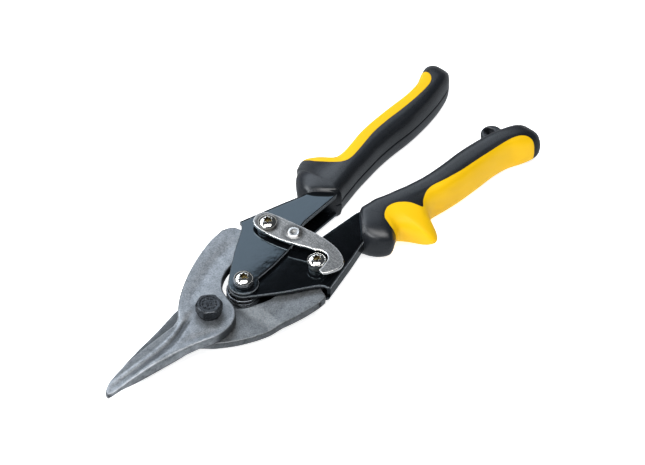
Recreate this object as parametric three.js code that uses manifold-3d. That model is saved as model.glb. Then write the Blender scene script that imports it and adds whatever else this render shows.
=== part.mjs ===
// Compound-action aviation snips, closed and latched, lying flat.
// Millimetres. +X runs from the handles to the jaw tips, +Y to the left, +Z up.
// The blade pivot's axis is the Z axis, and z = 0 is the plane the tool rests on.
import * as THREE from "three";
import { ParametricGeometry } from "three/addons/geometries/ParametricGeometry.js";
import { mergeVertices } from "three/addons/utils/BufferGeometryUtils.js";
import Module from "manifold-3d";

const wasm = await Module();
wasm.setup();

// ---- Driving dimensions ----
const MID_HEIGHT = 10; // contact plane of the blades above the rest plane
const TAIL_PIVOT = { x: -53.5, y: 15.6 }; // each blade tail's pivot in its handle, mirrored in Y
const HANDLE_PIVOT_X = -22; // where the two handles cross
const GAP = 0.3; // clearance between neighbouring pieces
const HAIR = 0.1; // clearance between stacked faces

const BLADE = { top: 4.7, contact: 0.15, taperStart: 38, taperEnd: 70, taperTop: 0.8, boss: 7.6 };
const JOGGLE = { start: -13.5, end: -20, half: 2.2 }; // the lower blade's tail steps up to mid-height
const BOLT = { shank: 3.5, hole: 3.58, flats: 11, washerRadius: 5.6, washer: 1.2, head: 4.3, nut: 4.8 };
const HEAD_ROUND = { radius: 8, drop: 6 }; // sphere that chamfers the bolt head's corners
const SCREW = { shank: 2.5, hole: 2.58, head: 4.4, dome: 2.5, nutFlats: 8, nut: 2.4 };
const PIVOT_WASHER = 1.7; // under the handle pivot screw's head
const TAIL_WASHER_RADIUS = 5;
const RIGHT = { side: -1, outer: 7.1, inner: 5.1 }; // half-heights of the outer channel
const LEFT = { side: 1, outer: 4.9, inner: 3.1 }; // half-heights of the nested channel
const LOBE_RADIUS = 7; // rounded ends of both channels at the handle pivot
const SLEEVE_RADIUS = 3.5;
const SLEEVE_PLAY = 0.6; // the handle pivot is the open joint of the linkage, so it has play
const LATCH = { bottom: 9, top: 10.5, notch: 5.1 };
const CATCH = { collarTop: 8, collarRadius: 3.7 };
const SPRING = { radius: 7.4, wire: 0.6, pitch: 1.3, turns: 2, low: -2.2, high: 1.8, leg: 22 };
const GRIP = { along: 27, around: 18, insertDepth: 2 };

// ---- Geometry helpers ----
const flat = ([x, y]) => new THREE.Vector2(x, y);

// A smooth open curve through hand-placed points, as corner points.
function smooth(points, steps = 3 * points.length) {
  return new THREE.SplineCurve(points.map(flat)).getPoints(steps).map((p) => [p.x, p.y]);
}

// Points on an arc, angles in degrees.
function arc(cx, cy, radius, from, to, steps = 8) {
  return Array.from({ length: steps + 1 }, (_, i) => {
    const angle = THREE.MathUtils.degToRad(from + ((to - from) * i) / steps);
    return [cx + radius * Math.cos(angle), cy + radius * Math.sin(angle)];
  });
}

const mirrored = (points, side) => points.map(([x, y]) => [x, side * y]);

// A closed outline moved outwards by a distance, along its corner normals.
function grown(points, distance) {
  const outwards = THREE.ShapeUtils.isClockWise(points.map(flat)) ? -distance : distance;
  return points.map(([x, y], i) => {
    const along = flat(points[(i + 1) % points.length]).sub(flat(points.at(i - 1))).normalize();
    return [x + along.y * outwards, y - along.x * outwards];
  });
}

// A closed triangle geometry as a manifold-3d solid.
function solid(geometry) {
  const bare = geometry.clone();
  bare.deleteAttribute("normal");
  bare.deleteAttribute("uv");
  const merged = mergeVertices(bare, 1e-4);
  const corners = merged.index.array;
  const kept = [];
  for (let i = 0; i < corners.length; i += 3) {
    const [a, b, c] = corners.slice(i, i + 3);
    if (a !== b && b !== c && c !== a) kept.push(a, b, c);
  }
  return new wasm.Manifold(
    new wasm.Mesh({
      numProp: 3,
      vertProperties: merged.attributes.position.array,
      triVerts: new Uint32Array(kept),
    }),
  );
}

function geometryOf(manifold) {
  const mesh = manifold.getMesh();
  return new THREE.BufferGeometry()
    .setAttribute("position", new THREE.BufferAttribute(mesh.vertProperties, 3))
    .setIndex(new THREE.BufferAttribute(mesh.triVerts, 1));
}

// An upright prism from a plan outline, between two heights above the contact plane.
function prism(points, low, high) {
  const shape = new THREE.Shape(points.map(flat));
  const geometry = new THREE.ExtrudeGeometry(shape, { depth: high - low, bevelEnabled: false });
  return solid(geometry.translate(0, 0, low));
}

// A prism along Y from a side outline of (x, z) points.
function sidePrism(points, halfWidth) {
  const shape = new THREE.Shape(points.map(flat));
  const geometry = new THREE.ExtrudeGeometry(shape, { depth: 2 * halfWidth, bevelEnabled: false });
  return solid(geometry.translate(0, 0, -halfWidth).rotateX(Math.PI / 2));
}

// A round piece about Z from (radius, height) points that start and end on the axis, bottom first.
function turned(profile, segments = 24) {
  return solid(new THREE.LatheGeometry(profile.map(flat), segments).rotateX(Math.PI / 2));
}

const rod = (radius, low, high, segments) =>
  turned([[0, low], [radius, low], [radius, high], [0, high]], segments);
const ring = (radius, bore, low, high) => rod(radius, low, high).subtract(rod(bore, low - 1, high + 1));
const hexagon = (flats, low, high) => rod(flats / Math.sqrt(3), low, high, 6);
const at = (manifold, x, y) => manifold.translate([x, y, 0]);

// ---- Blades ----
// Both blades have the cutting edge on the -Y side, a boss round the pivot and a curved tail to (x, -y) of
// the tail pivot. The lower blade is drawn the same way and turned over about the X axis.
const INNER_EDGE = [
  [-46, -10.4], [-37, -11.8], [-28, -13], [-19.5, -10.4], [-14, -5.5], [-11.8, 0], [-10, 6], [-6.5, 10.3],
  [-2, 12.6],
];

const TAIL_CORNER = [[-43.6, -29.4], [-45, -27.5], [-45.6, -25.4]];

// The jaw and boss are one thickness, tapered to the tip. A tail's profile continues it past the boss.
const straightTail = [[-70, BLADE.top], [-70, BLADE.contact]];
const joggledTail = [
  [JOGGLE.start, BLADE.top], [JOGGLE.end, JOGGLE.half], [-70, JOGGLE.half], [-70, -JOGGLE.half],
  [JOGGLE.end, -JOGGLE.half], [JOGGLE.start, BLADE.contact],
];

function blade({ edge, outer, spine, tail }) {
  const outline = [
    ...smooth(edge),
    ...smooth(outer, 20).slice(1),
    ...TAIL_CORNER,
    ...arc(TAIL_PIVOT.x, -TAIL_PIVOT.y, BLADE.boss, 285, 75, 10),
    ...smooth(INNER_EDGE, 20),
    ...smooth(spine),
  ];
  const profile = [
    [BLADE.taperEnd, BLADE.contact], [BLADE.taperEnd, BLADE.taperTop], [BLADE.taperStart, BLADE.top], ...tail,
  ];
  // The jaw's outer face slopes down to its cutting edge.
  const bevel = new THREE.BoxGeometry(60, 30, 8)
    .translate(0, 0, 4)
    .rotateX(THREE.MathUtils.degToRad(23))
    .rotateZ(THREE.MathUtils.degToRad(7))
    .translate(44, -9.2, 0.6);
  return prism(outline, -6, 6)
    .intersect(sidePrism(profile, 40))
    .subtract(solid(bevel))
    .subtract(rod(BOLT.hole, -6, 6))
    .subtract(at(rod(SCREW.hole, -6, 6), TAIL_PIVOT.x, -TAIL_PIVOT.y));
}

const upperBlade = blade({
  edge: [[61.8, 0.2], [60.8, -1.5], [57, -4], [51, -6], [43, -7.1], [33, -7.3], [24, -7], [16, -6.6]],
  outer: [
    [16, -6.6], [11.8, -8.4], [8, -12], [3, -16], [-4, -20.4], [-12, -24.4], [-21, -27.6], [-31, -30],
    [-40, -30.9],
  ],
  spine: [
    [-2, 12.6], [3, 13.2], [8, 12.3], [16, 9.4], [26, 6.7], [36, 4.9], [46, 3.1], [56, 1.4], [61.2, 0.9],
  ],
  tail: straightTail,
});
const lowerBlade = blade({
  edge: [[63.4, -0.1], [62.6, -0.9], [56, -1.2], [46, -2.6], [36, -4.3], [26, -6], [20, -6.6], [16, -6.6]],
  outer: [
    [16, -6.6], [12.5, -9.6], [5, -15.6], [0, -18.8], [-6.5, -22], [-11.5, -23.8], [-21.5, -26.3],
    [-31.5, -28.2],
    [-39.5, -29.4],
  ],
  spine: [
    [-2, 12.6], [3, 14.2], [8, 14.2], [16, 12.7], [26, 11.1], [36, 9.8], [46, 8], [55, 5.2], [60, 2.8],
    [63, 0.8],
  ],
  tail: joggledTail,
}).rotate([180, 0, 0]);

// ---- Handle channels ----
// Plan of a channel for the +Y side: a rounded lobe at the handle pivot, an open front edge, the outer
// edge that carries the web, and a tang inside the grip.
const FRONT_EDGE = [[-26, 11.7], [-34, 17.3], [-40.2, 21], [-45.2, 24.1], [-47, 25.6]];
const WEB_EDGE = [
  [-48.6, 27.6], [-55.5, 25.8], [-61, 24.4], [-70, 22], [-80, 19.4], [-92, 17.4], [-98, 17.4], [-110, 19.2],
  [-130, 21.8], [-150, 23.2],
];
const OPEN_EDGE = [
  [-150, 18.4], [-130, 16.9], [-110, 12.6], [-98, 9.4], [-90, 7], [-68, 6], [-62, 4.2], [-55, 0.6], [-50, -1],
  [-39, -2.6], [-30, -3],
];
const WEB_FRONT_X = -49.6;
const LOBE_ARC = { from: -155, to: 54 }; // degrees

function channel({ side, outer, inner }, pivotHole) {
  const lobe = arc(HANDLE_PIVOT_X, 0, LOBE_RADIUS, LOBE_ARC.from, LOBE_ARC.to, 14);
  const outline = [...lobe, ...FRONT_EDGE, ...WEB_EDGE, ...OPEN_EDGE];
  // Between its two plates the channel is hollow inside its web, and open in front and along its inner edge.
  const sheet = outer - inner;
  const webInner = WEB_EDGE.slice(1).map(([x, y]) => [x, y - sheet]);
  const hollow = [
    [-10, -25], [-10, 45], [WEB_FRONT_X, 45], [WEB_FRONT_X, WEB_EDGE[0][1] - sheet],
    ...webInner, [-155, 20], [-155, -25],
  ];
  return prism(mirrored(outline, side), -outer, outer)
    .subtract(prism(mirrored(hollow, side), -inner, inner))
    .subtract(at(rod(pivotHole, -9, 9), HANDLE_PIVOT_X, 0))
    .subtract(at(rod(SCREW.hole, -9, 9), TAIL_PIVOT.x, side * TAIL_PIVOT.y));
}

// ---- Grips ----
// Sections of a grip for the +Y side, front to back: the x of the section's inner and outer side, the
// inner side, core centre and outer side in y, the half-height, how far the guard's rim sweeps back at
// mid-height, the squareness of the outer side, how far the right grip's section sits forwards and the left
// grip's backwards, how far the outer side's top leans out and its bottom in, and how much further out the
// right grip's outer side is.
const SECTIONS = [
  [-92, -80.5, 6.6, 13, 19.8, 9, 0, 3, 0, 0, 0],
  [-92.6, -81.5, 6.3, 13, 24.4, 9.6, 0, 3, 0, 0.5, -1],
  [-93.2, -84.2, 6.2, 13.2, 27.8, 9.8, 0, 3, 0, 1, -1.6],
  [-93.8, -88, 6.3, 13.3, 29.6, 9.8, 0, 3, 0.5, 1.5, -1],
  [-94.8, -91.6, 6.6, 13.6, 28.4, 9.8, 0.5, 2.7, 1.5, 1.6, 2],
  [-95.8, -93.4, 6.8, 13.8, 29, 9.8, 1, 2.3, 2.6, 1.4, 3.8],
  [-97, -95, 7, 14, 32.8, 9.8, 1.5, 2, 3.2, 0.8, 2.8],
  [-98.8, -97.2, 7.6, 14.4, 37.4, 9.8, 2, 1.8, 3.3, 0, 0.4],
  [-100.8, -99.6, 8.3, 15, 40.3, 9.8, 1.5, 1.7, 3, -0.6, -1.2],
  [-103.5, -103, 9, 15.8, 40.8, 9.8, 1, 1.65, 2.6, -1.2, -1.5],
  [-107, -106.8, 9.8, 16.9, 37.8, 9.8, 0.5, 1.75, 2.4, -1.6, -1.5],
  [-110.6, -110.6, 10.7, 17.9, 32.6, 9.8, 0, 2, 2.2, -1.6, -3.5],
  [-114.6, -114.6, 11.6, 19, 28.4, 9.8, 0, 2.4, 1.4, -1, -2],
  [-120, -120, 12.6, 20.1, 27.3, 9.8, 0, 2.7, 0.6, -0.4, -0.5],
  [-128, -128, 13.9, 21.4, 28.4, 9.9, 0, 2.8, 0, 0, 0],
  [-138, -138, 14.6, 22.2, 29.4, 10, 0, 2.8, 0, 0, 0],
  [-150, -150, 14.7, 22.8, 29.7, 10, 0, 2.8, 0, 0, 0],
  [-161, -161, 15.8, 23.8, 29.6, 10, 0, 2.8, 0, 0, 0],
  [-170, -170, 17.4, 25.2, 31, 10, 0, 2.7, -0.3, 0, 0],
  [-177, -177, 19.3, 26.8, 34.6, 9.7, 0, 2.6, -0.6, 0, 0],
  [-182.5, -182.5, 21.2, 28.2, 36.8, 8.8, 0, 2.5, -0.6, 0, 0],
  [-186, -186, 23.4, 29.2, 36, 7, 0, 2.4, -0.6, 0, 0],
  [-188, -188, 25.6, 29.6, 33.4, 4.2, 0, 2.2, -0.6, 0, 0],
];
const INNER_SQUARENESS = 4;

// A point on a grip's skin, or on a skin a given depth inside it.
function gripSkin(side, depth) {
  const width = SECTIONS[0].length;
  const stations = SECTIONS.map((_, i) => i / (SECTIONS.length - 1));
  const rows = new THREE.CubicInterpolant(stations, SECTIONS.flat(), width, new Array(width));
  return (u, v, target) => {
    // The first and last steps close the ends.
    const inEnds = u < 1e-9 || u > 1 - 1e-9;
    const reach = THREE.MathUtils.clamp((u * GRIP.along - 1) / (GRIP.along - 2), 0, 1);
    const section = rows.evaluate(reach);
    const [xInner, xOuter, yInner, yCore, breadth, half, sweep, outerSquareness, skew, lean, more] = section;
    const yOuter = side < 0 ? breadth + more : breadth;
    const angle = v * 2 * Math.PI;
    const across = Math.cos(angle);
    const squareness = across < 0 ? INNER_SQUARENESS : outerSquareness;
    const halfWidth = (across < 0 ? yCore - yInner : yOuter - yCore) - depth;
    const out = inEnds ? 0 : Math.sign(across) * Math.abs(across) ** (2 / squareness);
    const up = inEnds ? 0 : Math.sign(Math.sin(angle)) * Math.abs(Math.sin(angle)) ** (2 / squareness);
    const y = yCore + halfWidth * out + lean * up * Math.max(0, out);
    const slant = THREE.MathUtils.inverseLerp(yInner, yOuter, y);
    const swept = sweep * (1 - up * up) * Math.max(0, out) ** 1.5;
    const shift = depth * (1 - 2 * reach) + side * skew;
    target.set(THREE.MathUtils.lerp(xInner, xOuter, slant) - swept - shift, y, (half - depth) * up);
  };
}

const gripSolid = (side, depth) =>
  solid(new ParametricGeometry(gripSkin(side, depth), GRIP.along, GRIP.around));

const LEFT_INSERT = [
  [-92.7, 50], [-92.7, 25], [-94.2, 20], [-97.8, 17.2], [-101, 16.6], [-105.2, 18], [-109.2, 21.8],
  [-112.4, 26.8], [-115.4, 24.6], [-119.4, 22.8], [-124, 22.4], [-130, 23.7], [-140, 25.3], [-150, 26],
  [-165, 27.2], [-174, 28.8], [-178.8, 31.2], [-180.8, 34.6], [-179.9, 38], [-177.4, 50],
];
const RIGHT_INSERT = [
  [-98, 50], [-99.9, 30.4], [-102.9, 23.2], [-106.6, 18.6], [-111.5, 17.4], [-120, 18.9], [-130, 21],
  [-140, 21.8], [-150, 21.9], [-160, 22.3], [-168, 23.1], [-174, 24.5], [-177.4, 27.2], [-178.6, 31],
  [-177.8, 36], [-175.6, 50],
];
const EYELET = { x: -171, y: 17.8, radius: 4.8, holeY: 16.4, hole: 1.8, low: 1.5, high: 6.5 };

// The grip's black body and its yellow insert, which wraps the body's outer side. The body has a pocket for
// the handle's tang.
function grip({ side, outer }, insertOutline, ...extras) {
  const tang = [[-68, 24], ...WEB_EDGE.slice(3), ...OPEN_EDGE.slice(0, 6)];
  const pocket = prism(grown(tang, GAP), -outer - GAP, outer + GAP);
  const skin = gripSolid(side, 0);
  const insert = prism(insertOutline, -12, 12).intersect(skin).subtract(gripSolid(side, GRIP.insertDepth));
  const recess = prism(grown(insertOutline, GAP), -12, 12).subtract(gripSolid(side, GRIP.insertDepth + GAP));
  const body = extras.reduce((whole, piece) => whole.add(piece), skin).subtract(recess).subtract(pocket);
  return [body, insert].map((piece) => (side > 0 ? piece : piece.mirror([0, 1, 0])));
}

// A flat loop moulded on the inner side of the left grip, to hang the tool by.
const eyelet = at(rod(EYELET.radius, EYELET.low, EYELET.high), EYELET.x, EYELET.y);
const eyeletHole = at(rod(EYELET.hole, EYELET.low - 1, EYELET.high + 1, 12), EYELET.x, EYELET.holeY);
const [rightGrip, rightInsert] = grip(RIGHT, RIGHT_INSERT);
const [leftGripBody, leftInsert] = grip(LEFT, LEFT_INSERT, eyelet);
const leftGrip = leftGripBody.subtract(eyeletHole);

// ---- Latch ----
// A flat hook that swings on the right tail pivot and catches the head of the screw at the left one.
const FRONT_OF_LATCH = [
  [-53.6, -23.2], [-50, -21.6], [-48.4, -18], [-48.6, -12], [-49.8, -6], [-52.2, 1], [-55.4, 8],
];
const BACK_OF_LATCH = [
  [-53.5, 26.9], [-57, 27.6], [-60.6, 26], [-63.4, 21.4], [-64.7, 15], [-64.6, 7], [-63.3, -1],
];
const LATCH_OUTLINE = [
  ...smooth(FRONT_OF_LATCH, 14),
  ...arc(TAIL_PIVOT.x, TAIL_PIVOT.y, LATCH.notch, 232, 117, 9),
  [-49.6, 22.9], [-48.4, 23.8], [-49, 25.1],
  ...smooth(BACK_OF_LATCH, 14),
  ...smooth([[-61.6, -9], [-60, -16], [-58.4, -20.6], [-56, -22.8]], 6),
];
const BUMP = { x: -57.5, y: -2.6, radius: 3.3, height: 0.9 };
const bumpProfile = [[0, -0.5], [1, -0.5], [1, 0], [0.8, 0.6], [0.45, 1], [0, 1]];
const bump = turned(bumpProfile.map(([r, h]) => [BUMP.radius * r, LATCH.top + BUMP.height * h]), 16);
const latchPlate = prism(LATCH_OUTLINE, LATCH.bottom, LATCH.top)
  .add(at(bump, BUMP.x, BUMP.y))
  .subtract(at(rod(SCREW.hole, 0, 12), TAIL_PIVOT.x, -TAIL_PIVOT.y));

// ---- Fasteners ----
const DRIVE = { radius: 1.75, lobe: 0.35, depth: 1.3 };

// A domed screw with a six-lobe recess, from the end of its shank to the underside of its head.
function domedScrew(end, underHead) {
  const { shank, head, dome } = SCREW;
  const top = underHead + dome;
  const crown = [0.96, 0.86, 0.66, 0.4].map((share) => [
    head * share, top - dome * 0.72 * (1 - Math.sqrt(1 - (share * 0.98) ** 2)),
  ]);
  const lobes = Array.from({ length: 24 }, (_, i) => {
    const angle = (i * Math.PI) / 12;
    const radius = DRIVE.radius + DRIVE.lobe * Math.cos(6 * angle);
    return [radius * Math.cos(angle), radius * Math.sin(angle)];
  });
  const sides = [[0, end], [shank, end], [shank, underHead], [head, underHead], [head, underHead + 0.7]];
  return turned([...sides, ...crown, [0, top]]).subtract(prism(lobes, top - DRIVE.depth, top + 1));
}

const nut = (top) =>
  hexagon(SCREW.nutFlats, top - SCREW.nut, top).subtract(rod(SCREW.shank + HAIR, top - 9, top + 1));
const boltSeat = BLADE.top + HAIR;
const underBolt = boltSeat + BOLT.washer + HAIR;
const boltTop = underBolt + BOLT.head;
const headRound = solid(new THREE.SphereGeometry(HEAD_ROUND.radius, 24, 16))
  .translate([0, 0, boltTop - HEAD_ROUND.drop]);
const pivotBolt = hexagon(BOLT.flats, underBolt, boltTop)
  .intersect(headRound)
  .add(rod(BOLT.shank, -MID_HEIGHT, underBolt + 0.5));
const pivotNut = hexagon(BOLT.flats + 1, -boltSeat - BOLT.nut, -boltSeat)
  .subtract(rod(BOLT.shank + HAIR, -12, 0));
const pivotWasher = ring(BOLT.washerRadius, BOLT.hole, boltSeat, boltSeat + BOLT.washer);

// ---- Opening spring ----
// A torsion coil round the handle pivot. Each leg leaves at a tangent and lies along one handle. The coil
// turns with the right handle, and the top turn with the left, so that both legs stay in their channels.
class SpringWire extends THREE.Curve {
  constructor(startAngle, turns, height, rise, legFirst) {
    super();
    Object.assign(this, { startAngle, turns, height, rise, legFirst });
    this.coilLength = turns * 2 * Math.PI * SPRING.radius;
  }

  getPoint(t, target = new THREE.Vector3()) {
    const travelled = t * (this.coilLength + SPRING.leg);
    const onCoil = this.legFirst ? travelled - SPRING.leg : travelled;
    const share = THREE.MathUtils.clamp(onCoil / this.coilLength, 0, 1);
    const angle = this.startAngle + share * this.turns * 2 * Math.PI;
    const beyond = onCoil - share * this.coilLength; // along the leg, before the coil's start or past its end
    return target.set(
      HANDLE_PIVOT_X + SPRING.radius * Math.cos(angle) - beyond * Math.sin(angle),
      SPRING.radius * Math.sin(angle) + beyond * Math.cos(angle),
      this.height + share * this.rise,
    );
  }
}

function springPiece(...route) {
  const wire = new SpringWire(...route);
  const section = new THREE.Shape(arc(0, 0, SPRING.wire, 0, 315, 7).map(flat));
  const steps = Math.ceil(wire.turns * 18 + 6);
  return solid(new THREE.ExtrudeGeometry(section, { steps, extrudePath: wire, bevelEnabled: false }));
}

const TURN = 2 * Math.PI;
const springCoil = springPiece(-TURN / 4, SPRING.turns, SPRING.low, SPRING.turns * SPRING.pitch, true);
const springTopTurn = springPiece(TURN / 4 - 0.9 * TURN, 0.9, SPRING.high, 0, false);

// ---- Materials ----
const finish = (color, roughness, metalness) =>
  new THREE.MeshStandardMaterial({ color, roughness, metalness });
const FORGED = finish(0x7d8286, 0.55, 0.9);
const BLACK_OXIDE = finish(0x1b1e21, 0.45, 0.8);
const BLACK_PAINT = finish(0x0d0f11, 0.15, 0.2);
const RUBBER = finish(0x1f2124, 0.65, 0);
const YELLOW = finish(0xf5c81e, 0.5, 0);
const PLATED = finish(0xb9b9b6, 0.35, 0.95);
const NICKEL = finish(0xd8d6d0, 0.15, 1);
const ZINC = finish(0x9a9c9b, 0.4, 0.9);

// ---- Assembly ----
function piece(group, name, manifold, material, x = 0, y = 0) {
  const mesh = new THREE.Mesh(geometryOf(manifold), material);
  mesh.name = name;
  mesh.position.set(x, y, 0);
  group.add(mesh);
}

const tool = new THREE.Group();
tool.name = "aviation_snips";
tool.position.z = MID_HEIGHT;
const blades = new THREE.Group();
const rightHandle = new THREE.Group();
const leftHandle = new THREE.Group();
tool.add(blades, rightHandle, leftHandle);

piece(blades, "lower_blade", lowerBlade, FORGED);
piece(blades, "upper_blade", upperBlade, FORGED);
piece(blades, "pivot_washer", pivotWasher, BLACK_OXIDE);
piece(blades, "pivot_bolt", pivotBolt, BLACK_OXIDE);
piece(blades, "pivot_nut", pivotNut, BLACK_OXIDE);

const rightTail = [TAIL_PIVOT.x, -TAIL_PIVOT.y];
const seat = RIGHT.outer + HAIR;
const screwEnd = -seat - SCREW.nut;
// The upper blade's tail lies in the top half of its channel, over one spacer.
const tailSpacer = ring(TAIL_WASHER_RADIUS, SCREW.hole, -RIGHT.inner + HAIR, BLADE.contact - HAIR);
const latchSpacer = ring(TAIL_WASHER_RADIUS, SCREW.hole, seat, LATCH.bottom - HAIR);
const sleeve = ring(SLEEVE_RADIUS, SCREW.hole, -RIGHT.inner + HAIR, RIGHT.inner - HAIR);
const handleWasher = ring(4.9, SCREW.hole, seat, seat + PIVOT_WASHER);
const handleScrew = domedScrew(screwEnd, seat + PIVOT_WASHER + HAIR);
piece(rightHandle, "right_handle", channel(RIGHT, SCREW.hole), BLACK_PAINT);
piece(rightHandle, "right_grip", rightGrip, RUBBER);
piece(rightHandle, "right_grip_insert", rightInsert, YELLOW);
piece(rightHandle, "right_tail_spacer", tailSpacer, ZINC, ...rightTail);
piece(rightHandle, "latch_spacer", latchSpacer, ZINC, ...rightTail);
piece(rightHandle, "latch_plate", latchPlate, PLATED);
piece(rightHandle, "latch_screw", domedScrew(screwEnd, LATCH.top + HAIR), NICKEL, ...rightTail);
piece(rightHandle, "latch_nut", nut(-seat), ZINC, ...rightTail);
piece(rightHandle, "handle_pivot_sleeve", sleeve, ZINC, HANDLE_PIVOT_X);
piece(rightHandle, "handle_pivot_washer", handleWasher, BLACK_OXIDE, HANDLE_PIVOT_X);
piece(rightHandle, "handle_pivot_screw", handleScrew, NICKEL, HANDLE_PIVOT_X);
piece(rightHandle, "handle_pivot_nut", nut(-seat), ZINC, HANDLE_PIVOT_X);
piece(rightHandle, "spring_coil", springCoil, BLACK_OXIDE);

const leftTail = [TAIL_PIVOT.x, TAIL_PIVOT.y];
const leftSeat = LEFT.outer + HAIR;
// The lower blade's tail lies at mid-height, between two washers.
const tailWasher = ring(TAIL_WASHER_RADIUS, SCREW.hole, JOGGLE.half + HAIR, LEFT.inner - HAIR);
const collar = ring(CATCH.collarRadius, SCREW.hole, leftSeat, CATCH.collarTop);
const catchScrew = domedScrew(-leftSeat - SCREW.nut, CATCH.collarTop + HAIR);
piece(leftHandle, "left_handle", channel(LEFT, SLEEVE_RADIUS + SLEEVE_PLAY), BLACK_PAINT);
piece(leftHandle, "left_grip", leftGrip, RUBBER);
piece(leftHandle, "left_grip_insert", leftInsert, YELLOW);
piece(leftHandle, "left_tail_washer_top", tailWasher, ZINC, ...leftTail);
piece(leftHandle, "left_tail_washer_bottom", tailWasher.rotate([180, 0, 0]), ZINC, ...leftTail);
piece(leftHandle, "catch_collar", collar, ZINC, ...leftTail);
piece(leftHandle, "catch_screw", catchScrew, NICKEL, ...leftTail);
piece(leftHandle, "catch_nut", nut(-leftSeat), ZINC, ...leftTail);
piece(leftHandle, "spring_top_turn", springTopTurn, BLACK_OXIDE);

export default tool;
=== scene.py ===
"""Aviation snips, closed and latched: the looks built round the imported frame.

Shapes are worked out in millimetres, with z measured from the plane where the blades touch,
and turned into metres in the frame when a mesh is made.
"""

import math

import bpy
import numpy as np
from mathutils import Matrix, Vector, geometry


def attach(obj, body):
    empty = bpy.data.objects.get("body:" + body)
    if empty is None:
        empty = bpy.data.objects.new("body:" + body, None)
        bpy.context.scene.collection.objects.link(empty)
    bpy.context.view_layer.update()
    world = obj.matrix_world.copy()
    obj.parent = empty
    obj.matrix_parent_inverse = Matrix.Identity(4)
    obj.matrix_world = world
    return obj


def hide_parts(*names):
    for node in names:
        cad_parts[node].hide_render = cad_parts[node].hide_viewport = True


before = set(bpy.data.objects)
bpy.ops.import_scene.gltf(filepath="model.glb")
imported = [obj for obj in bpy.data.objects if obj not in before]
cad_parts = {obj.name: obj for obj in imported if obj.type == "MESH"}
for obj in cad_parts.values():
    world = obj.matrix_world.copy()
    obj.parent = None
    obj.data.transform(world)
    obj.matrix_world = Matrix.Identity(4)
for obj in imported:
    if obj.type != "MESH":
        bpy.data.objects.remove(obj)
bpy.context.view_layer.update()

# ---- Dimensions, in millimetres ----
MID_HEIGHT = 10.0
TAIL_X, TAIL_Y = -53.5, 15.6
PIVOT_X = -22.0
RIGHT_OUTER, RIGHT_INNER = 7.1, 5.1
LEFT_OUTER, LEFT_INNER = 4.9, 3.1
LATCH_LOW, LATCH_TOP = 9.0, 10.5
BLADE_TOP, CONTACT, TAIL_HALF = 4.7, 0.15, 2.2
BOLT_BORE, SCREW_BORE = 3.58, 2.58
SLEEVE, SLEEVE_PLAY = 3.5, 0.6
SEAT, LEFT_SEAT, NUT_HEIGHT = 7.2, 5.0, 2.4


# ---- Mesh tools ----
def new_piece(name, points, faces, body, replaced, slot, material, attributes=None, sharp=40.0):
    """A mesh object from points in millimetres, riding on a body and standing for its CAD nodes."""
    mesh = bpy.data.meshes.new(name)
    placed = (np.asarray(points, float) + (0, 0, MID_HEIGHT)) * 0.001
    mesh.from_pydata([tuple(p) for p in placed], [], faces)
    mesh.validate()
    for key, values in (attributes or {}).items():
        attribute = mesh.attributes.new(key, "FLOAT", "POINT")
        attribute.data.foreach_set("value", np.asarray(values, np.float32))
    mesh.polygons.foreach_set("use_smooth", [True] * len(mesh.polygons))
    mesh.set_sharp_from_angle(angle=math.radians(sharp))
    mesh.materials.append(material)
    piece = bpy.data.objects.new(name, mesh)
    bpy.context.scene.collection.objects.link(piece)
    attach(piece, body)
    if replaced:
        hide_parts(*replaced)
    return piece


def spline(points, i, t):
    """A point on the Catmull-Rom curve through an array of points, a share t of the way from i to i + 1."""
    last = len(points) - 1
    p0, p1, p2, p3 = points[max(i - 1, 0)], points[i], points[i + 1], points[min(i + 2, last)]
    v0, v1 = (p2 - p0) / 2, (p3 - p1) / 2
    return (2 * p1 - 2 * p2 + v0 + v1) * t**3 + (-3 * p1 + 3 * p2 - 2 * v0 - v1) * t**2 + v0 * t + p1


def smooth(points, per=6):
    """A curve through the points, in so many steps from each to the next."""
    points = np.asarray(points, float)
    out = [spline(points, i, t) for i in range(len(points) - 1) for t in np.arange(per) / per]
    return [tuple(p) for p in [*out, points[-1]]]


def arc(cx, cy, radius, start, end, steps):
    angles = np.radians(np.linspace(start, end, steps + 1))
    return [(cx + radius * math.cos(a), cy + radius * math.sin(a)) for a in angles]


def circle(cx, cy, radius, steps=48):
    return arc(cx, cy, radius, 0, 360, steps)[:-1]


def ring_at(radius, height, steps, cx=0.0, cy=0.0):
    return [(x, y, height) for x, y in circle(cx, cy, radius, steps)]


def mirrored(points, side):
    return [(x, side * y) for x, y in points]


def turned_loop(points, clockwise=False):
    """The closed outline as an array, running anticlockwise, or clockwise for a hole."""
    loop = np.asarray(points, float)
    x, y = loop[:, 0], loop[:, 1]
    anticlockwise = np.sum(x * np.roll(y, -1) - np.roll(x, -1) * y) > 0
    return loop if anticlockwise != clockwise else loop[::-1]


def cut_up(loop, longest):
    """The closed outline with its long sides cut into equal steps."""
    out = []
    for a, b in zip(loop, np.roll(loop, -1, 0)):
        steps = max(1, math.ceil(np.linalg.norm(b - a) / longest))
        out += [a + (b - a) * k / steps for k in range(steps)]
    out = np.array(out)
    apart = np.linalg.norm(out - np.roll(out, -1, 0), axis=1) > 1e-4
    return out[apart]


def to_loops(points, loops):
    """Each point's distance to the nearest of the closed outlines."""
    best = np.full(len(points), np.inf)
    batch = 2000
    for loop in loops:
        a, b = loop, np.roll(loop, -1, 0)
        along = b - a
        length2 = np.maximum((along**2).sum(1), 1e-12)
        for start in range(0, len(points), batch):
            p = points[start : start + batch, None, :] - a[None]
            t = np.clip((p * along[None]).sum(2) / length2[None], 0, 1)
            d = np.sqrt(((p - t[..., None] * along[None]) ** 2).sum(2)).min(1)
            best[start : start + batch] = np.minimum(best[start : start + batch], d)
    return best


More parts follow.
